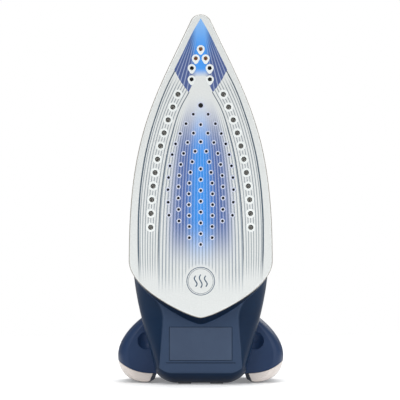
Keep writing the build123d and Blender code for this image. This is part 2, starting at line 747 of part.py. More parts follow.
def return_spring(x):
    """Coil spring between the pump's rim and the button."""
    wire, radius, height = 0.45, 5.25, CAP_W0 - PUMP_W1 - 0.3
    rise = height - 2 * wire
    base = Plane(origin=(x, SOLE_Y + PUMP_W1 + 0.15 + wire, BUTTON_Z), z_dir=(0, 1, 0))
    coil = base.from_local_coords(Helix(pitch=rise / 4, height=rise, radius=radius))
    with BuildPart() as piece:
        with BuildSketch(Plane(coil @ 0, z_dir=coil % 0)):
            Circle(wire)
        sweep(path=coil)
    return piece.part


for name, x in (("spray", BUTTON_X), ("boost", -BUTTON_X)):
    save(pump(x), f"{name}_pump")
    save(button_cap(x), f"{name}_button")
    save(piston(x), f"{name}_piston")
    save(return_spring(x), f"{name}_spring")

# ---------------------------------------------------------- water and steam path
with BuildPart() as spray_nozzle:
    with BuildSketch(Plane.XY.offset(222)):
        with Locations((0, SOLE_Y + NOZZLE_W)):
            Circle(4.2)
    extrude(amount=15)
    fillet(spray_nozzle.faces().sort_by(Axis.Z)[-1].edges(), 1.0)
    with BuildSketch(Plane.XY.offset(222)):
        with Locations((0, SOLE_Y + NOZZLE_W)):
            Circle(0.7)
    extrude(amount=15, mode=Mode.SUBTRACT)
save(spray_nozzle.part, "spray_nozzle")

HOSE_R = 1.7
with BuildPart() as spray_hose:
    hose_start = (BUTTON_X, SOLE_Y + PUMP_W0 - 5, BUTTON_Z)
    hose_end = (0, SOLE_Y + NOZZLE_W, 222)
    with BuildLine() as hose_path:
        Bezier(hose_start, (BUTTON_X, SOLE_Y + 90, BUTTON_Z), (BUTTON_X + 2, SOLE_Y + 94, 206),
               (0, SOLE_Y + NOZZLE_W, 210), hose_end)
    with BuildSketch(Plane(hose_path.wire() @ 0, z_dir=hose_path.wire() % 0)):
        Circle(HOSE_R)
    sweep(path=hose_path.wire())
save(spray_hose.part, "spray_hose")
save(rod(-BUTTON_X, BUTTON_Z, slope_w(BUTTON_Z) + 1.2, PUMP_W0 - 5, HOSE_R), "boost_hose")

with BuildPart() as dosing_valve:
    add(rod(0, NEEDLE_Z, STAT_W, UPPER_W - 0.1, 5.0))
    add(rod(0, NEEDLE_Z, STAT_W, UPPER_W, 1.3), mode=Mode.SUBTRACT)
save(dosing_valve.part, "dosing_valve")

with BuildPart() as dosing_needle:
    add(rod(0, NEEDLE_Z, UPPER_W + 1.6, 138.5, 1.6))
    add(rod(0, NEEDLE_Z, 136.0, 138.5, 3.4))
save(dosing_needle.part, "dosing_needle")

with BuildPart() as steam_slider:
    add(tile(0, SLIDER_Z, 9.0, 6.4, 1.4, HEAD_W + 0.3, HEAD_W + 4.6))
    fillet(steam_slider.faces().sort_by(Axis.Y)[-1].edges(), 0.9)
    add(tile(0, SLIDER_Z, 5.2, 3.2, 1.4, 144.0, HEAD_W + 0.4))
    add(tile(0, SLIDER_Z, 12, 8, 1.0, 142.4, 144.4))
save(steam_slider.part, "steam_slider")

# ----------------------------------------------------------------------- dial
DIAL_R, DIAL_W0, DIAL_W1 = 22.4, 83.2, 91.6
with BuildPart() as thermostat_dial:
    add(rod(0, DIAL_Z, DIAL_W0, DIAL_W1, DIAL_R))
    fillet(thermostat_dial.faces().sort_by(Axis.Y)[-1].edges(), 1.6)
    with BuildSketch(plane_at(DIAL_W0 + 2)):
        with Locations((0, DIAL_Z)):
            with PolarLocations(DIAL_R + 1.0, 30):
                Circle(1.5)
    extrude(amount=-12, mode=Mode.SUBTRACT)
    add(tile(0, DIAL_Z + 14, 2.0, 9, 0.9, DIAL_W1 - 0.8, DIAL_W1 + 1), mode=Mode.SUBTRACT)
save(thermostat_dial.part, "thermostat_dial")

with BuildPart() as dial_shaft:
    add(rod(0, DIAL_Z, 30, DIAL_W0, 4.0))
    add(rod(0, DIAL_Z, STAT_W + 4.4, 30, 2.6))
save(dial_shaft.part, "dial_shaft")

with BuildPart() as dial_bezel:
    add(rod(0, DIAL_Z, DECK_W, DECK_W + 1.0, 27.4))
    add(rod(0, DIAL_Z, DECK_W, DECK_W + 1.0, 24.2), mode=Mode.SUBTRACT)
save(dial_bezel.part, "dial_bezel")
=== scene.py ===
"""The clothes iron: materials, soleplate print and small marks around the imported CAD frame."""

import math

import bpy
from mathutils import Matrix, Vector


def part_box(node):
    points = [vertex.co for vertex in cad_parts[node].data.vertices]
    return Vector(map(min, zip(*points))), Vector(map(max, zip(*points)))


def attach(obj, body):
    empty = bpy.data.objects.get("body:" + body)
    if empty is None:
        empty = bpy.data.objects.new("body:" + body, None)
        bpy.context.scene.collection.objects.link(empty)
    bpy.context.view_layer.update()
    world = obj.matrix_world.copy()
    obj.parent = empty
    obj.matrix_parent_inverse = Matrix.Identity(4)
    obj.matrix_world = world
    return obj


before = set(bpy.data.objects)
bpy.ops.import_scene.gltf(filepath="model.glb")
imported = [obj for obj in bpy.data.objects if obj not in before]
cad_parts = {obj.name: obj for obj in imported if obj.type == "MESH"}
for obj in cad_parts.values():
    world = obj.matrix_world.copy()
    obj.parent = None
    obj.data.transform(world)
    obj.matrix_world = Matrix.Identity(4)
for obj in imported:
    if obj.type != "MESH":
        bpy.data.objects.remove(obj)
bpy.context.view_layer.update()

MM = 0.001
SOLE_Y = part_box("soleplate_sheet")[0].y
PRINT_LIFT = 0.03 * MM  # printed marks stand this far proud of what they are printed on


# ------------------------------------------------------------------------ shading helpers
class Surface:
    """A material on one Principled shader, with short ways to add the nodes that feed it."""

    def __init__(self, name, **sockets):
        self.material = bpy.data.materials.new(name)
        self.material.use_nodes = True
        self.tree = self.material.node_tree
        self.shader = self.tree.nodes["Principled BSDF"]
        for socket, value in sockets.items():
            self.shader.inputs[socket.replace("_", " ")].default_value = value
        self.place = self.node("TexCoord").outputs["Object"]
        self.normal = None

    def node(self, kind, **settings):
        made = self.tree.nodes.new("ShaderNode" + kind)
        for setting, value in settings.items():
            setattr(made, setting, value)
        return made

    def feed(self, socket, value):
        """Links value into the socket, or sets it there when it is a plain number or colour."""
        if isinstance(value, bpy.types.NodeSocket):
            self.tree.links.new(value, socket)
        else:
            socket.default_value = value

    def math(self, operation, *values, clamp=False):
        made = self.node("Math", operation=operation, use_clamp=clamp)
        for socket, value in zip(made.inputs, values):
            self.feed(socket, value)
        return made.outputs[0]

    def ramp(self, value, low, high, to_low=0.0, to_high=1.0):
        """value carried smoothly from low..high to to_low..to_high, and held flat outside."""
        made = self.node("MapRange", interpolation_type="SMOOTHSTEP")
        for socket, given in zip(made.inputs, (value, low, high, to_low, to_high)):
            self.feed(socket, given)
        return made.outputs[0]

    def band(self, value, low, high, soft):
        """1 where value lies between low and high, 0 elsewhere."""
        above = self.ramp(self.math("SUBTRACT", value, low), -soft, soft)
        below = self.ramp(self.math("SUBTRACT", high, value), -soft, soft)
        return self.math("MULTIPLY", above, below)

    def stripes(self, value, share, soft):
        """Lines where value is near a whole number, covering that share of the way to the next."""
        away = self.math("PINGPONG", value, 0.5)
        return self.ramp(away, share / 2 - soft, share / 2 + soft, 1.0, 0.0)

    def mix(self, factor, first, second):
        made = self.node("Mix", data_type="RGBA")
        self.feed(made.inputs["Factor"], factor)
        self.feed(made.inputs["A"], first)
        self.feed(made.inputs["B"], second)
        return made.outputs["Result"]

    def noise(self, per_metre, detail=3.0, rough=0.55, place=None):
        made = self.node("TexNoise")
        self.feed(made.inputs["Vector"], place or self.place)
        made.inputs["Scale"].default_value = per_metre
        made.inputs["Detail"].default_value = detail
        made.inputs["Roughness"].default_value = rough
        return made.outputs["Fac"]

    def coordinates(self):
        """x, y and z in millimetres."""
        split = self.node("SeparateXYZ")
        self.tree.links.new(self.place, split.inputs[0])
        return [self.math("MULTIPLY", axis, 1 / MM) for axis in split.outputs]

    def profile(self, value, points):
        """A smooth curve through (value, result) points, read off at value."""
        lows = [min(column) for column in zip(*points)]
        highs = [max(column) for column in zip(*points)]
        made = self.node("FloatCurve")
        curve = made.mapping.curves[0]
        knots = []
        for point in sorted(points):
            knots.append([(v - lo) / (hi - lo) for v, lo, hi in zip(point, lows, highs)])
        curve.points[0].location = knots[0]
        curve.points[1].location = knots[-1]
        for knot in knots[1:-1]:
            curve.points.new(*knot)
        for point in curve.points:
            point.handle_type = "AUTO_CLAMPED"
        made.mapping.update()
        inside = self.node("MapRange")
        for socket, given in zip(inside.inputs, (value, lows[0], highs[0], 0.0, 1.0)):
            self.feed(socket, given)
        self.tree.links.new(inside.outputs[0], made.inputs["Value"])
        scaled = self.math("MULTIPLY", made.outputs[0], highs[1] - lows[1])
        return self.math("ADD", scaled, lows[1])

    def bump(self, height, depth, strength=1.0):
        """Adds relief of that depth in millimetres to what the shader already has."""
        made = self.node("Bump")
        made.inputs["Strength"].default_value = strength
        made.inputs["Distance"].default_value = depth * MM
        self.feed(made.inputs["Height"], height)
        if self.normal is not None:
            self.tree.links.new(self.normal, made.inputs["Normal"])
        self.normal = made.outputs["Normal"]
        self.tree.links.new(self.normal, self.shader.inputs["Normal"])

    def colour(self, value):
        self.feed(self.shader.inputs["Base Color"], value)

    def roughness(self, value):
        self.feed(self.shader.inputs["Roughness"], value)


def rgb(code):
    """Linear colour of a #rrggbb code."""
    channels = [int(code[i : i + 2], 16) / 255 for i in (1, 3, 5)]
    linear = [c / 12.92 if c <= 0.04045 else ((c + 0.055) / 1.055) ** 2.4 for c in channels]
    return (*linear, 1.0)


def moulded_surface(name, base, worn, rough, grain=0.012, shine=0.4, **sockets):
    """Moulded plastic: slight colour drift, fine spark-eroded grain, handling gloss."""
    surface = Surface(name, Specular_IOR_Level=shine, **sockets)
    drift = surface.ramp(surface.noise(28, 4.0), 0.35, 0.68)
    surface.tone = surface.mix(drift, rgb(base), rgb(worn))
    surface.colour(surface.tone)
    polish = surface.noise(55, 5.0, 0.6)
    surface.roughness(surface.ramp(polish, 0.3, 0.7, rough - 0.04, rough + 0.05))
    surface.bump(surface.noise(2600, 2.0), grain)
    return surface


def moulded(*given, **settings):
    """The finished material of moulded_surface()."""
    return moulded_surface(*given, **settings).material


def metal(name, base, worn, rough, scratch=0.01, stretch=(1, 1, 1)):
    """Bare or plated metal with fine directional scratches."""
    surface = Surface(name, Metallic=1.0)
    mapping = surface.node("Mapping")
    mapping.inputs["Scale"].default_value = stretch
    surface.feed(mapping.inputs["Vector"], surface.place)
    lines = surface.noise(900, 4.0, 0.6, mapping.outputs[0])
    surface.colour(surface.mix(surface.ramp(lines, 0.3, 0.7), rgb(base), rgb(worn)))
    surface.roughness(surface.ramp(lines, 0.3, 0.7, rough - 0.06, rough + 0.08))
    surface.bump(lines, scratch)
    return surface.material


def glassy(name, tint, deep, rough, transmission, grain=0.004):
    """Clear tinted plastic with faint flow lines from the mould."""
    surface = Surface(name, Transmission_Weight=transmission, IOR=1.49)
    flow = surface.ramp(surface.noise(16, 3.0), 0.35, 0.7)
    surface.colour(surface.mix(flow, rgb(tint), rgb(deep)))
    surface.roughness(surface.ramp(surface.noise(60, 4.0), 0.3, 0.7, rough - 0.03, rough + 0.05))
    surface.bump(surface.noise(700, 2.0), grain)
    return surface


# ---------------------------------------------------------------------- soleplate print
# Printed curves of the soleplate, as (height, distance from the centre line) in millimetres.
OUTER_LINE = [
    (83, 51.0), (108, 52.2), (127, 52.4), (151, 51.6), (179, 48.6),
    (205, 43.3), (227, 36.7), (245, 30.0), (262.3, 21.5), (273, 15.6),
]
INNER_LINE = [
    (83, 36.0), (112, 35.7), (127, 35.3), (153, 33.8), (172, 31.6),
    (192, 28.4), (209, 24.2), (226, 19.0), (243.4, 10.2), (254, 4.4),
]
TIP_APEX_Z, TIP_CORNER_Z, TIP_FOOT_Z = 305.5, 262.3, 243.4
TIP_SIDE = [(262.3, 22.2), (277, 14.9), (293.5, 6.9), (305.5, 0.0)]
TIP_FOOT = [(243.4, 10.2), (248, 13.7), (253.6, 17.6), (262.3, 22.2)]
TIP_THROAT = [(243.4, 10.2), (249, 7.4), (257, 4.3)]
MARK_Z, MARK_R = 86.5, 11.5  # the printed mark: height of its middle, and radius
PINSTRIPES = 13.0  # between the centre line and the inner line
SIDE_LANES = 8.0  # gaps between the fine lines of a side band


def printed_enamel():
    """White enamel with the soleplate's printed lines, blue field and blue tip panel."""
    s = Surface("sole_enamel", IOR=1.5, Coat_Weight=0.5, Coat_Roughness=0.08)
    x, _, z = s.coordinates()
    across = s.math("ABSOLUTE", x)

    speck = s.noise(900, 3.0)
    white = s.mix(s.ramp(speck, 0.35, 0.65), rgb("#dadddc"), rgb("#dfe2e1"))

    outer = s.profile(z, OUTER_LINE)
    inner = s.profile(z, INNER_LINE)
    from_outer = s.math("SUBTRACT", outer, across)
    from_inner = s.math("SUBTRACT", inner, across)
    between = s.math("SUBTRACT", outer, inner)
    line_span = s.math("MULTIPLY", s.ramp(z, 82, 112), s.ramp(z, 263, 262))
    inner_span = s.math("MULTIPLY", s.ramp(z, 84, 116), s.ramp(z, 244.2, 243.2))
    width = s.ramp(z, 262, 110, 1.1, 1.3)

    # The centre field: bright blue core, violet shoulders, lilac edge.
    share = s.math("DIVIDE", across, inner)
    core = s.mix(s.ramp(share, 0.06, 0.44), rgb("#3792ea"), rgb("#5069a8"))
    flank = s.mix(s.ramp(share, 0.50, 0.82), core, rgb("#a3abcc"))
    rising = s.ramp(z, 244, 190)
    falling = s.ramp(z, 94, 138)
    strength = s.math("MULTIPLY", rising, falling)
    side_fade = s.ramp(share, 0.88, 0.60)
    strength = s.math("MULTIPLY", strength, side_fade)
    inside = s.ramp(from_inner, 0.0, 0.4)
    strength = s.math("MULTIPLY", strength, inside)
    shade = s.mix(strength, white, flank)

    # Pale pinstripes over the field, grey ones where the field has faded out.
    row = s.math("MULTIPLY", share, PINSTRIPES)
    pin = s.stripes(row, 0.36, 0.14)
    pale_share = s.ramp(share, 0.1, 0.4, 0.16, 0.34)
    pale = s.math("MULTIPLY", pin, s.math("MULTIPLY", strength, pale_share))
    shade = s.mix(pale, shade, rgb("#dfe6f4"))
    grey_pin = s.stripes(s.math("ADD", row, 0.5), 0.30, 0.16)
    grey_span = s.math("MULTIPLY", s.ramp(z, 74, 96), s.ramp(z, 236, 205))
    weak = s.math("MULTIPLY", s.ramp(share, 0.35, 0.75, 0.2, 1.0), inside)
    low = s.ramp(z, 150, 122)
    weak = s.math("MAXIMUM", weak, s.math("MULTIPLY", low, 0.7))
    weak = s.math("MULTIPLY", weak, inside)
    grey = s.math("MULTIPLY", grey_pin, s.math("MULTIPLY", grey_span, weak))
    up = s.math("SUBTRACT", z, MARK_Z)
    squares = s.math("ADD", s.math("MULTIPLY", x, x), s.math("MULTIPLY", up, up))
    clear_of_mark = s.ramp(s.math("SQRT", squares), MARK_R + 1.0, MARK_R + 4.0)
    grey = s.math("MULTIPLY", grey, clear_of_mark)
    shade = s.mix(s.math("MULTIPLY", grey, 0.8), shade, rgb("#566c82"))

    # Side bands: seven fine lines between the two curves.
    lane = s.math("MULTIPLY", s.math("DIVIDE", from_inner, between), -SIDE_LANES)
    side_lines = s.stripes(lane, 0.26, 0.08)
    in_band = s.band(lane, 0.5, SIDE_LANES - 0.5, 0.2)
    side_span = s.math("MULTIPLY", s.ramp(z, 84, 104), s.ramp(z, 259, 246))
    side = s.math("MULTIPLY", side_lines, s.math("MULTIPLY", in_band, side_span))
    shade = s.mix(s.math("MULTIPLY", side, 0.8), shade, rgb("#4a6074"))

    # The two dark lines.
    outer_ink = s.math("MULTIPLY", s.band(from_outer, 0.0, width, 0.12), line_span)
    inner_ink = s.math("MULTIPLY", s.band(from_inner, 0.0, 0.8, 0.12), inner_span)
    ink = s.math("MAXIMUM", outer_ink, inner_ink)
    shade = s.mix(s.math("MULTIPLY", ink, 0.93), shade, rgb("#33495c"))

    # The tip panel.
    side_edge = s.profile(z, TIP_SIDE)
    foot_edge = s.profile(z, TIP_FOOT)
    throat = s.profile(z, TIP_THROAT)
    upper = s.math("GREATER_THAN", z, TIP_CORNER_Z)
    edge = s.node("Mix", data_type="FLOAT")
    s.feed(edge.inputs["Factor"], upper)
    s.feed(edge.inputs["A"], foot_edge)
    s.feed(edge.inputs["B"], side_edge)
    reach = s.math("SUBTRACT", edge.outputs["Result"], across)
    panel = s.ramp(reach, 0.0, 0.3)
    clear_of_throat = s.ramp(s.math("SUBTRACT", across, throat), -0.2, 0.2)
    above_throat = s.ramp(z, 256.6, 257.2)
    panel = s.math("MULTIPLY", panel, s.math("MAXIMUM", clear_of_throat, above_throat))
    panel = s.math("MULTIPLY", panel, s.band(z, TIP_FOOT_Z, TIP_APEX_Z, 0.2))
    spread = s.math("DIVIDE", across, s.math("SUBTRACT", TIP_APEX_Z + 4.0, z))
    middle = s.mix(s.ramp(z, 304, 278), rgb("#86b9f3"), rgb("#4b9bf0"))
    middle = s.mix(s.ramp(z, 264, 255), middle, white)
    side_tone = s.mix(s.ramp(z, 300, 262), rgb("#4a6da6"), rgb("#4f6093"))
    tone = s.mix(s.ramp(across, 2.6, 9.5), middle, side_tone)
    streaks = s.stripes(s.math("MULTIPLY", spread, 17.0), 0.22, 0.10)
    streaks = s.math("MULTIPLY", streaks, s.band(spread, 0.16, 0.45, 0.03))
    streaks = s.math("MULTIPLY", streaks, s.ramp(z, 296, 274))
    tone = s.mix(s.math("MULTIPLY", streaks, 0.55), tone, rgb("#c9d3ea"))
    shade = s.mix(panel, shade, tone)

    # The rounded edge, where the enamel thins out over warm grey metal.
    facing = s.node("SeparateXYZ")
    s.feed(facing.inputs[0], s.node("TexCoord").outputs["Normal"])
    turned = s.ramp(facing.outputs["Y"], -0.94, -0.75)
    shade = s.mix(s.math("MULTIPLY", turned, 0.9), shade, rgb("#857c6f"))

    s.colour(shade)
    s.roughness(s.ramp(s.noise(140, 4.0), 0.3, 0.7, 0.16, 0.26))
    s.bump(s.noise(420, 3.0), 0.012)
    return s.material


# ------------------------------------------------------------------------------ materials
# slate of the rating plate; front_housing also paints it onto the flat heel panel as painted light
SLATE = "#35455e"
# near-black navy, used in front_housing as painted shade
SHADED_NAVY = "#051428"


def ribbed_grip():
    """Soft grip: dark rubber skin with fine cross ribs where the hand closes."""
    s = Surface("soft_grip", Sheen_Weight=0.25, Sheen_Roughness=0.5)
    z = s.coordinates()[2]
    drift = s.ramp(s.noise(45, 4.0), 0.35, 0.65)
    s.colour(s.mix(drift, rgb("#1b2230"), rgb("#232c3c")))
    s.roughness(s.ramp(s.noise(90, 4.0), 0.3, 0.7, 0.58, 0.7))
    ribs = s.stripes(s.math("DIVIDE", z, 3.2), 0.5, 0.2)
    held = s.band(z, 98.0, 172.0, 3.0)
    s.bump(s.noise(2400, 2.0), 0.03)
    s.bump(s.math("MULTIPLY", ribs, held), 0.35, 0.8)
    return s.material


def front_housing():
    """Navy lower housing, with light and shade painted into its colour: the flat heel panel
    lightened to slate as painted light, near-black painted shade on the collar just under the
    soleplate's edge, and painted shade along the bottom.
    """
    s = moulded_surface("navy_front", "#08203a", "#0a243f", 0.36, grain=0.008, shine=0.14)
    _, y, z = s.coordinates()
    panel_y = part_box("rating_plate")[0].y / MM
    # painted shade: the downward-facing collar just under the soleplate's edge is darkened towards
    # SHADED_NAVY
    skirt_painted_shade = s.ramp(y, panel_y - 1.6, panel_y - 0.5, 1.0, 0.0)
    tone = s.mix(s.math("MULTIPLY", skirt_painted_shade, 0.75), s.tone, rgb(SHADED_NAVY))
    # painted light: the flat heel panel facing the front is lightened to SLATE, standing in for
    # the light it catches
    panel_painted_light = s.band(y, panel_y - 0.5, panel_y + 0.35, 0.3)
    tone = s.mix(panel_painted_light, tone, rgb(SLATE))
    # painted shade: the downward-facing bottom is darkened towards SHADED_NAVY below 13 mm
    underside_painted_shade = s.ramp(z, 13.0, 3.0)
    tone = s.mix(s.math("MULTIPLY", underside_painted_shade, 0.7), tone, rgb(SHADED_NAVY))
    s.colour(tone)
    return s.material


TANK_CLARITY = 0.9  # transmission of the tank wall, away from the printed lines


def clear_tank():
    """Tinted clear tank wall with fill level lines printed low on both flanks."""
    s = glassy("tank_clear", "#7eabe4", "#6c9cda", 0.12, TANK_CLARITY, grain=0.001)
    x, y, z = s.coordinates()
    rows = s.stripes(s.math("DIVIDE", z, 12.0), 0.07, 0.02)
    marks = s.math("MULTIPLY", s.band(z, 78.0, 162.0, 0.5), s.band(y, -46.0, -38.0, 0.3))
    flanks = s.ramp(s.math("ABSOLUTE", x), 40.0, 42.0)
    ink = s.math("MULTIPLY", rows, s.math("MULTIPLY", marks, flanks))
    tint = s.shader.inputs["Base Color"].links[0].from_socket
    s.colour(s.mix(ink, tint, rgb("#e8edf2")))
    opaque = s.math("MULTIPLY", ink, TANK_CLARITY)
    s.feed(s.shader.inputs["Transmission Weight"], s.math("SUBTRACT", TANK_CLARITY, opaque))
    return s.material


MATERIALS = {
    "enamel_white": printed_enamel(),
    "cast_aluminium": metal("cast_alloy", "#8e9092", "#a6a8aa", 0.48, scratch=0.05),
    "element_steel": metal(
        "element_sheath", "#6b6258", "#857b70", 0.42, scratch=0.02, stretch=(1, 1, 6)
    ),
    "screw_steel": metal("screw_steel", "#b4b6b8", "#c9cbcc", 0.30),
    "plated_steel": metal(
        "plated_steel", "#a9aeb2", "#c2c6c9", 0.22, scratch=0.008, stretch=(1, 6, 1)
    ),
    "navy_plastic": moulded(
        "navy_gloss", "#0a2442", "#0d2948", 0.34, grain=0.008, shine=0.3, Coat_Weight=0.1
    ),
    "navy_soft": moulded("navy_satin", "#1d3152", "#223758", 0.42, shine=0.25),
    "plate_slate": moulded("slate_plate", SLATE, "#394a63", 0.45),
    "tank_blue": clear_tank(),
    "cream_plastic": moulded("cream_shell", "#d3cac4", "#dcd4cf", 0.38, grain=0.02),
    "dark_rubber": ribbed_grip(),
    "lens_amber": glassy("lens_amber", "#d9822b", "#b5641a", 0.12, 0.5).material,
    "pump_plastic": moulded("pump_acetal", "#c8ccd0", "#d6d9dc", 0.42, grain=0.015),
    "board_green": moulded("board_resin", "#1f5a3c", "#276b48", 0.40, grain=0.02),
    "terminal_black": moulded("terminal_black", "#191a1c", "#222427", 0.45, grain=0.03),
    "spring_steel": metal("spring_wire", "#9fa1a3", "#b7b9bb", 0.28, stretch=(6, 1, 1)),
    "hose_silicone": glassy("hose_silicone", "#d8dadb", "#e4e6e6", 0.35, 0.35).material,
}

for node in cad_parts.values():
    for slot in node.material_slots:
        slot.material = MATERIALS[slot.material.name.split(".")[0]]
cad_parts["lower_housing"].material_slots[0].material = front_housing()


# ------------------------------------------------------------------------------- lighting
MIDDLE = Vector((0.0, 0.0, 0.15))  # of the object
ROOM_LIGHT = 0.22  # brightness of the white room as the object receives it


def area_light(name, place, size, watts):
    """A rectangular lamp turned towards the middle of the object."""
    data = bpy.data.lights.new(name, "AREA")
    data.shape = "RECTANGLE"
    data.size, data.size_y = size
    data.energy = watts
    light = bpy.data.objects.new(name, data)
    light.location = place
    light.rotation_euler = (MIDDLE - Vector(place)).to_track_quat("-Z", "Y").to_euler()
    bpy.context.scene.collection.objects.link(light)


area_light("key", (-1.3, -1.7, 1.6), size=(1.6, 1.6), watts=29)
area_light("fill", (1.6, -1.3, 0.9), size=(1.6, 1.6), watts=18)
area_light("top", (0.0, 0.2, 2.2), size=(2.2, 2.2), watts=34)
area_light("back", (0.6, 2.0, 1.4), size=(1.8, 1.4), watts=24)

world = bpy.data.worlds.new("studio")
world.use_nodes = True
backdrop = world.node_tree.nodes["Background"]
backdrop.inputs["Color"].default_value = (1, 1, 1, 1)
seen = world.node_tree.nodes.new("ShaderNodeLightPath").outputs["Is Camera Ray"]
brightness = world.node_tree.nodes.new("ShaderNodeMapRange")
brightness.inputs["To Min"].default_value = ROOM_LIGHT
world.node_tree.links.new(seen, brightness.inputs["Value"])
world.node_tree.links.new(brightness.outputs["Result"], backdrop.inputs["Strength"])
bpy.context.scene.world = world
bpy.context.scene.view_settings.view_transform = "Standard"


# ------------------------------------------------------------------------ floor and camera
def disc_floor():
    """A pale round floor that thins out into the backdrop."""
    radius, rings, spokes = 1.4, 6, 64
    points = [(0, 0, 0)]
    faces = []
    for ring in range(1, rings + 1):
        for spoke in range(spokes):
            angle = math.tau * spoke / spokes
            reach = radius * ring / rings
            points.append((reach * math.cos(angle), reach * math.sin(angle), 0))
    for spoke in range(spokes):
        after = (spoke + 1) % spokes
        faces.append((0, 1 + spoke, 1 + after))
        for ring in range(rings - 1):
            a = 1 + ring * spokes
            b = a + spokes
            faces.append((a + spoke, b + spoke, b + after, a + after))
    mesh = bpy.data.meshes.new("floor")
    mesh.from_pydata(points, [], faces)
    floor = bpy.data.objects.new("floor", mesh)
    bpy.context.scene.collection.objects.link(floor)
    s = Surface("floor_paper", Roughness=0.85, Emission_Color=(1, 1, 1, 1), Emission_Strength=0.22)
    tone = s.ramp(s.noise(30, 3.0), 0.3, 0.7)
    s.colour(s.mix(tone, rgb("#f4f5f6"), rgb("#f8f9f9")))
    length = s.node("VectorMath", operation="LENGTH")
    s.feed(length.inputs[0], s.place)
    s.feed(s.shader.inputs["Alpha"], s.ramp(length.outputs["Value"], 0.35, 1.2, 1.0, 0.0))
    mesh.materials.append(s.material)
    return floor


disc_floor()

CAMERA_X = -0.0006
CAMERA_AWAY = 1.55  # from the working face, in metres

camera_data = bpy.data.cameras.new("camera")
camera_data.lens = 168.3
camera_data.sensor_width = 36.0
camera_data.clip_start = 0.05
camera = bpy.data.objects.new("camera", camera_data)
camera.location = (CAMERA_X, SOLE_Y - CAMERA_AWAY, 0.095)
aim = Vector((CAMERA_X, SOLE_Y, 0.1538))
camera.rotation_euler = (aim - camera.location).to_track_quat("-Z", "Y").to_euler()
bpy.context.scene.collection.objects.link(camera)
bpy.context.scene.camera = camera


# --------------------------------------------------------------------------- printed marks
def flat_piece(name, points, faces, material, body, slot_name):
    """A mesh piece in frame coordinates that rides with a body."""
    mesh = bpy.data.meshes.new(name)
    mesh.from_pydata(points, [], faces)
    mesh.materials.append(material)
    piece = bpy.data.objects.new(name, mesh)
    bpy.context.scene.collection.objects.link(piece)
    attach(piece, body)


def face_loops():
    """Closed edges of the soleplate's working face in the CAD mesh, each a list of (x, z)."""
    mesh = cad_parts["soleplate_sheet"].data
    uses = {}
    for face in mesh.polygons:
        corners = [mesh.vertices[i].co for i in face.vertices]
        if any(abs(co.y - SOLE_Y) > 1e-6 for co in corners):
            continue
        keys = [(round(co.x, 6), round(co.z, 6)) for co in corners]
        for pair in zip(keys, keys[1:] + keys[:1]):
            key = tuple(sorted(pair))
            uses[key] = uses.get(key, 0) + 1
    links = {}
    for a, b in (pair for pair, count in uses.items() if count == 1):
        links.setdefault(a, []).append(b)
        links.setdefault(b, []).append(a)
    loops = []
    while links:
        loop = [min(links)]
        onward = links.pop(loop[0])[:1]
        while onward:
            loop.append(onward[0])
            onward = [point for point in links.pop(loop[-1]) if point in links]
        loops.append(loop)
    return loops


WIDEST_HOLE = 10 * MM  # the face's outer edge is wider than this, and every hole narrower


def hole_rims(loops):
    """Centre and radius of every round hole among the loops."""
    rims = []
    for loop in loops:
        low_x, high_x = min(p[0] for p in loop), max(p[0] for p in loop)
        low_z, high_z = min(p[1] for p in loop), max(p[1] for p in loop)
        if high_x - low_x < WIDEST_HOLE:
            rims.append(((low_x + high_x) / 2, (low_z + high_z) / 2, (high_x - low_x) / 2))
    return sorted(rims)


def fan(points, faces, cx, cz, y, reach, dip=0.0, steps=24):
    """Adds a filled face, its middle pushed along Y by dip; reach(angle) is its radius."""
    start = len(points)
    points.append((cx, y + dip, cz))
    for step in range(steps):
        angle = math.tau * step / steps
        radius = reach(angle)
        points.append((cx + radius * math.cos(angle), y, cz + radius * math.sin(angle)))
    for step in range(steps):
        faces.append((start, start + 1 + step, start + 1 + (step + 1) % steps))


def disc(points, faces, cx, cz, y, radius, dip=0.0):
    """Adds a round face, its middle pushed along Y by dip."""
    fan(points, faces, cx, cz, y, lambda angle: radius, dip)


TIP_HOLES_Z = 250 * MM  # the tip panel's holes are above this
BRASS_SEATS_Z = 270 * MM  # and its three highest above this
SIDE_HOLES_X = 5 * MM  # the side bands' holes are further out than this
LARGE_HOLE_R = 1.6 * MM
SIDE_HALO_R = 3.9 * MM
FIELD_HALO_WIDTH = 0.85 * MM


def is_side_hole(cx, cz, radius):
    return cz < TIP_HOLES_Z and radius > LARGE_HOLE_R and abs(cx) > SIDE_HOLES_X


def steam_seats(rims):
    """Shallow conical seats in the steam chamber, seen through the larger holes."""
    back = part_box("soleplate_sheet")[1].y + 0.05 * MM
    dip = 0.6 * MM
    tip, side = ([], []), ([], [])
    for cx, cz, radius in rims:
        if cz > BRASS_SEATS_Z:
            disc(*tip, cx, cz, back, radius - 0.1 * MM, dip)
        elif is_side_hole(cx, cz, radius):
            disc(*side, cx, cz, back, radius - 0.5 * MM, dip)
    brass = metal("seat_brass", "#d39c76", "#dba985", 0.6)
    steel = metal("seat_steel", "#8b8b88", "#9a9a97", 0.5)
    flat_piece("tip_seats", *tip, brass, "base", "cast_aluminium")
    flat_piece("side_seats", *side, steel, "base", "cast_aluminium")


def halo(points, faces, cx, cz, inner, reach, steps=40):
    """Adds a printed ring round one hole; reach(angle) is its outer radius."""
    start = len(points)
    y = SOLE_Y - PRINT_LIFT
    for step in range(steps):
        angle = math.tau * step / steps
        for radius in (inner, reach(angle)):
            points.append((cx + radius * math.cos(angle), y, cz + radius * math.sin(angle)))
    for step in range(steps):
        a = start + 2 * step
        b = start + 2 * ((step + 1) % steps)
        faces.append((a, a + 1, b + 1, b))


def teardrop(angle):
    """Outer radius of a tip halo, drawn out downwards."""
    return (3.3 + 1.5 * max(0.0, -math.sin(angle)) ** 8) * MM


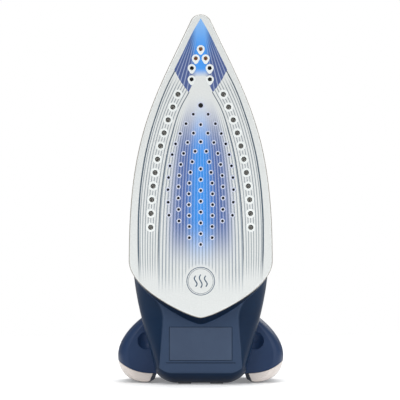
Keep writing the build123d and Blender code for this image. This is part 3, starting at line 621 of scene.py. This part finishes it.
def halos(rims):
    """White rings round the side holes, teardrops in the tip and lilac rings in the field."""
    white = moulded("halo_white", "#e6ebea", "#ebefee", 0.22, grain=0.01)
    lilac = moulded("halo_lilac", "#c9cfe4", "#d2d7e8", 0.22, grain=0.01)
    side, tip, field = ([], []), ([], []), ([], [])
    for cx, cz, radius in rims:
        inner = radius + 0.02 * MM
        if cz > TIP_HOLES_Z:
            halo(*tip, cx, cz, inner, teardrop)
        elif is_side_hole(cx, cz, radius):
            halo(*side, cx, cz, inner, lambda angle: SIDE_HALO_R)
        else:
            halo(*field, cx, cz, inner, lambda angle: radius + FIELD_HALO_WIDTH)
    flat_piece("side_halos", *side, white, "base", "enamel_white")
    flat_piece("tip_halos", *tip, white, "base", "enamel_white")
    flat_piece("field_halos", *field, lilac, "base", "enamel_white")


def ribbon(points, faces, path, width, y):
    """Adds a flat line of that width along (x, z) points, on a plane facing -Y."""
    start = len(points)
    for i, (x, z) in enumerate(path):
        before = path[max(i - 1, 0)]
        after = path[min(i + 1, len(path) - 1)]
        along = Vector((after[0] - before[0], after[1] - before[1])).normalized()
        side = Vector((-along.y, along.x)) * width / 2
        points.append((x + side.x, y, z + side.y))
        points.append((x - side.x, y, z - side.y))
    for i in range(len(path) - 1):
        a = start + 2 * i
        faces.append((a, a + 1, a + 3, a + 2))


def wavy_lines(points, faces, centre, y, height, spacing, swing, width, short=0.18):
    """Adds three upright wavy lines, the outer two shorter by the share short."""
    for column in (-1, 0, 1):
        wave = []
        for i in range(25):
            t = i / 24
            x = centre[0] + column * spacing + swing * math.sin(math.tau * t)
            wave.append((x, centre[1] + (t - 0.5) * height * (1 - short * abs(column))))
        ribbon(points, faces, wave, width, y)


def steam_mark():
    """A plain ring with three rising steam lines, low on the soleplate."""
    points, faces = [], []
    cx, cz, radius = 0.0, MARK_Z * MM, MARK_R * MM
    y = SOLE_Y - PRINT_LIFT
    for reach, width in ((radius, 0.6 * MM), (radius - 1.2 * MM, 0.3 * MM)):
        circle = [math.tau * i / 72 for i in range(73)]
        ring = [(cx + reach * math.cos(a), cz + reach * math.sin(a)) for a in circle]
        ribbon(points, faces, ring, width, y)
    wavy_lines(
        points, faces, (cx, cz), y,
        height=11.0 * MM, spacing=4.2 * MM, swing=1.1 * MM, width=0.95 * MM,
    )
    ink = moulded("mark_ink", "#3c5268", "#465d73", 0.35, grain=0.01)
    flat_piece("steam_mark", points, faces, ink, "base", "enamel_white")


DIAL_PRINT_SHARE = 0.72  # of the dial's radius
SETTING_TURN = 70  # degrees from one heat setting to the next
DOT_TURN = 9  # degrees from one dot to the next
DOT_R = 0.85 * MM


def face_middle(low, high):
    """Centre (x, z) of a box, and the height y of what is printed on its +Y face."""
    return (low.x + high.x) / 2, (low.z + high.z) / 2, high.y + PRINT_LIFT


def heat_dots():
    """One, two and three dots round the dial, for its three settings."""
    low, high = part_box("thermostat_dial")
    cx, cz, y = face_middle(low, high)
    reach = (high.x - low.x) / 2 * DIAL_PRINT_SHARE
    points, faces = [], []
    for setting in (1, 2, 3):
        for dot in range(setting):
            turn = 90 - SETTING_TURN * setting + DOT_TURN * (dot - (setting - 1) / 2)
            angle = math.radians(turn)
            dot_x, dot_z = cx + reach * math.cos(angle), cz + reach * math.sin(angle)
            disc(points, faces, dot_x, dot_z, y, DOT_R)
    ink = moulded("dial_ink", "#cfd6dd", "#dbe1e6", 0.4)
    flat_piece("heat_dots", points, faces, ink, "dial", "cream_plastic")


def droplet(angle):
    """Outer radius of the water drop, drawn out upwards."""
    return (2.1 + 2.6 * max(0.0, math.sin(angle)) ** 9) * MM


def button_signs():
    """A droplet on the spray button and rising steam on the boost button."""
    ink = moulded("button_ink", "#33455f", "#3d5069", 0.4)
    cx, cz, y = face_middle(*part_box("boost_button"))
    points, faces = [], []
    wavy_lines(
        points, faces, (cx, cz), y,
        height=7.5 * MM, spacing=2.4 * MM, swing=0.6 * MM, width=0.6 * MM,
    )
    flat_piece("boost_sign", points, faces, ink, "boost", "navy_plastic")
    cx, cz, y = face_middle(*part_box("spray_button"))
    points, faces = [], []
    fan(points, faces, cx, cz - 0.8 * MM, y, droplet, steps=36)
    flat_piece("spray_sign", points, faces, ink, "spray", "navy_plastic")


rims = hole_rims(face_loops())
halos(rims)
steam_seats(rims)
steam_mark()
heat_dots()
button_signs()
